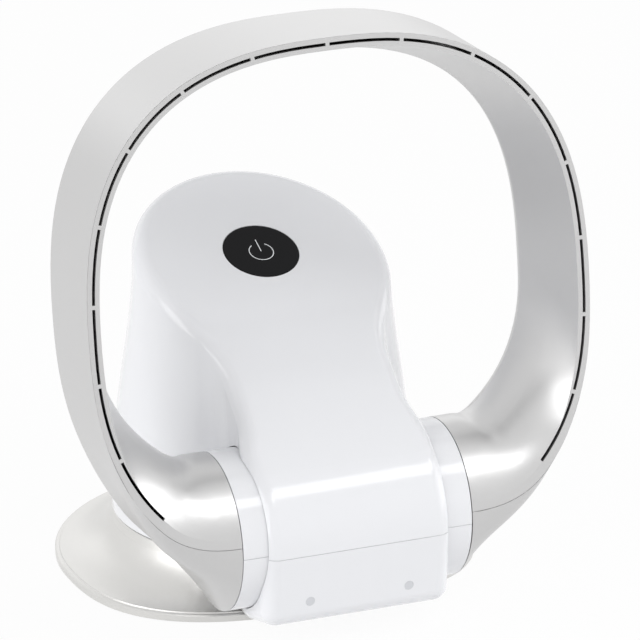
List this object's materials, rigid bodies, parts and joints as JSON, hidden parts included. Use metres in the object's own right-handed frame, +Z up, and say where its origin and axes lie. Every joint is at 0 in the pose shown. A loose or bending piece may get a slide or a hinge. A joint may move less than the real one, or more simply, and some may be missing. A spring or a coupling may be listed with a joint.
{
  "type": "bladeless fan",
  "caption": "Bladeless table fan: flared weighted base, swivelling tower with slanted top and round power key, and a tilting rounded-square air ring held on two side collars.",
  "frame": {"origin": "centre of the base's neck and rubber ring, on the surface that the ring stands on", "axes": "+Z up, -Y towards the front where the air ring stands, +X to the right seen from the front"},
  "size_m": [0.341, 0.3059, 0.39],
  "materials": {
    "pearl_base": "pearl silver-white, satin",
    "dark_plastic": "moulded matt",
    "weight_iron": "plain",
    "foot_rubber": "matt",
    "screw_steel": "zinc plated",
    "black_socket": "moulded",
    "gear_plastic": "natural acetal",
    "spindle_steel": "turned",
    "bearing_steel": "polished",
    "inner_plastic": "moulded",
    "motor_metal": "plain",
    "board_green": "solder resist",
    "gloss_white": "glossy cool white",
    "plug_grey": "satin",
    "copper": "wound wire and laminations",
    "key_black": "high gloss",
    "silver_ring": "satin silver paint"
  },
  "bodies": {
    "base": {"base_cover": "pearl_base", "base_bottom_plate": "dark_plastic", "base_weight": "weight_iron", "foot_ring": "foot_rubber", "base_screws": "screw_steel", "dc_jack": "black_socket", "base_gear": "gear_plastic", "glide_ring": "gear_plastic"},
    "tower": {"swivel_spindle": "spindle_steel", "spindle_screws": "screw_steel", "retaining_clip": "spindle_steel", "tower_pan": "inner_plastic", "pan_screws": "screw_steel", "oscillation_motor": "motor_metal", "motor_ear_screws": "screw_steel", "driver_board": "board_green", "board_screws": "screw_steel", "front_cover": "gloss_white", "rear_cover": "gloss_white", "rear_cover_screws": "screw_steel", "pivot_lower_cover": "gloss_white", "lower_cover_screws": "screw_steel", "screw_plugs": "plug_grey", "duct_upper": "gloss_white", "duct_lower": "gloss_white", "duct_screws": "screw_steel", "rubber_mounts": "foot_rubber", "stage_seal": "foot_rubber", "fan_shroud": "inner_plastic", "diffuser": "inner_plastic", "motor_can": "motor_metal", "lower_bearing": "bearing_steel", "upper_bearing": "bearing_steel", "stator": "copper", "key_frame": "inner_plastic", "control_board": "board_green", "control_board_screws": "screw_steel", "tact_switch": "black_socket", "friction_washers": "gear_plastic"},
    "rotor": {"motor_shaft": "spindle_steel", "rotor_magnet": "weight_iron", "impeller": "inner_plastic", "impeller_nut": "screw_steel"},
    "swivel_drive": {"oscillation_pinion": "gear_plastic"},
    "key": {"power_key": "key_black", "switch_plunger": "black_socket"},
    "ring": {"ring_front_shell": "silver_ring", "ring_rear_shell": "silver_ring", "right_spigot": "inner_plastic", "left_spigot": "inner_plastic"}
  },
  "joints": [
    {"name": "tower_swivel", "type": "hinge", "parent": "base", "child": "tower", "pos_m": [0, 0, 0.036], "axis": [0, 0, 1], "range_deg": [-40, 40]},
    {"name": "pinion_spin", "type": "hinge", "parent": "tower", "child": "swivel_drive", "pos_m": [0, 0.0361, 0.03], "axis": [0, 0, 1], "range_deg": [-205, 205]},
    {"name": "rotor_spin", "type": "hinge", "parent": "tower", "child": "rotor", "pos_m": [0, 0, 0.12], "axis": [0, 0, 1], "continuous": true},
    {"name": "ring_tilt", "type": "hinge", "parent": "tower", "child": "ring", "pos_m": [0, -0.1134, 0.0695], "axis": [-1, 0, 0], "range_deg": [-15, 80]},
    {"name": "key_press", "type": "slide", "parent": "tower", "child": "key", "axis": [0, 0.3778, -0.9259], "range_m": [0, 0.001], "stiffness_N_per_m": 1200, "springref_m": -0.0006}
  ],
  "couplings": [
    {"joint": "pinion_spin", "follows": "tower_swivel", "ratio": 5}
  ]
}
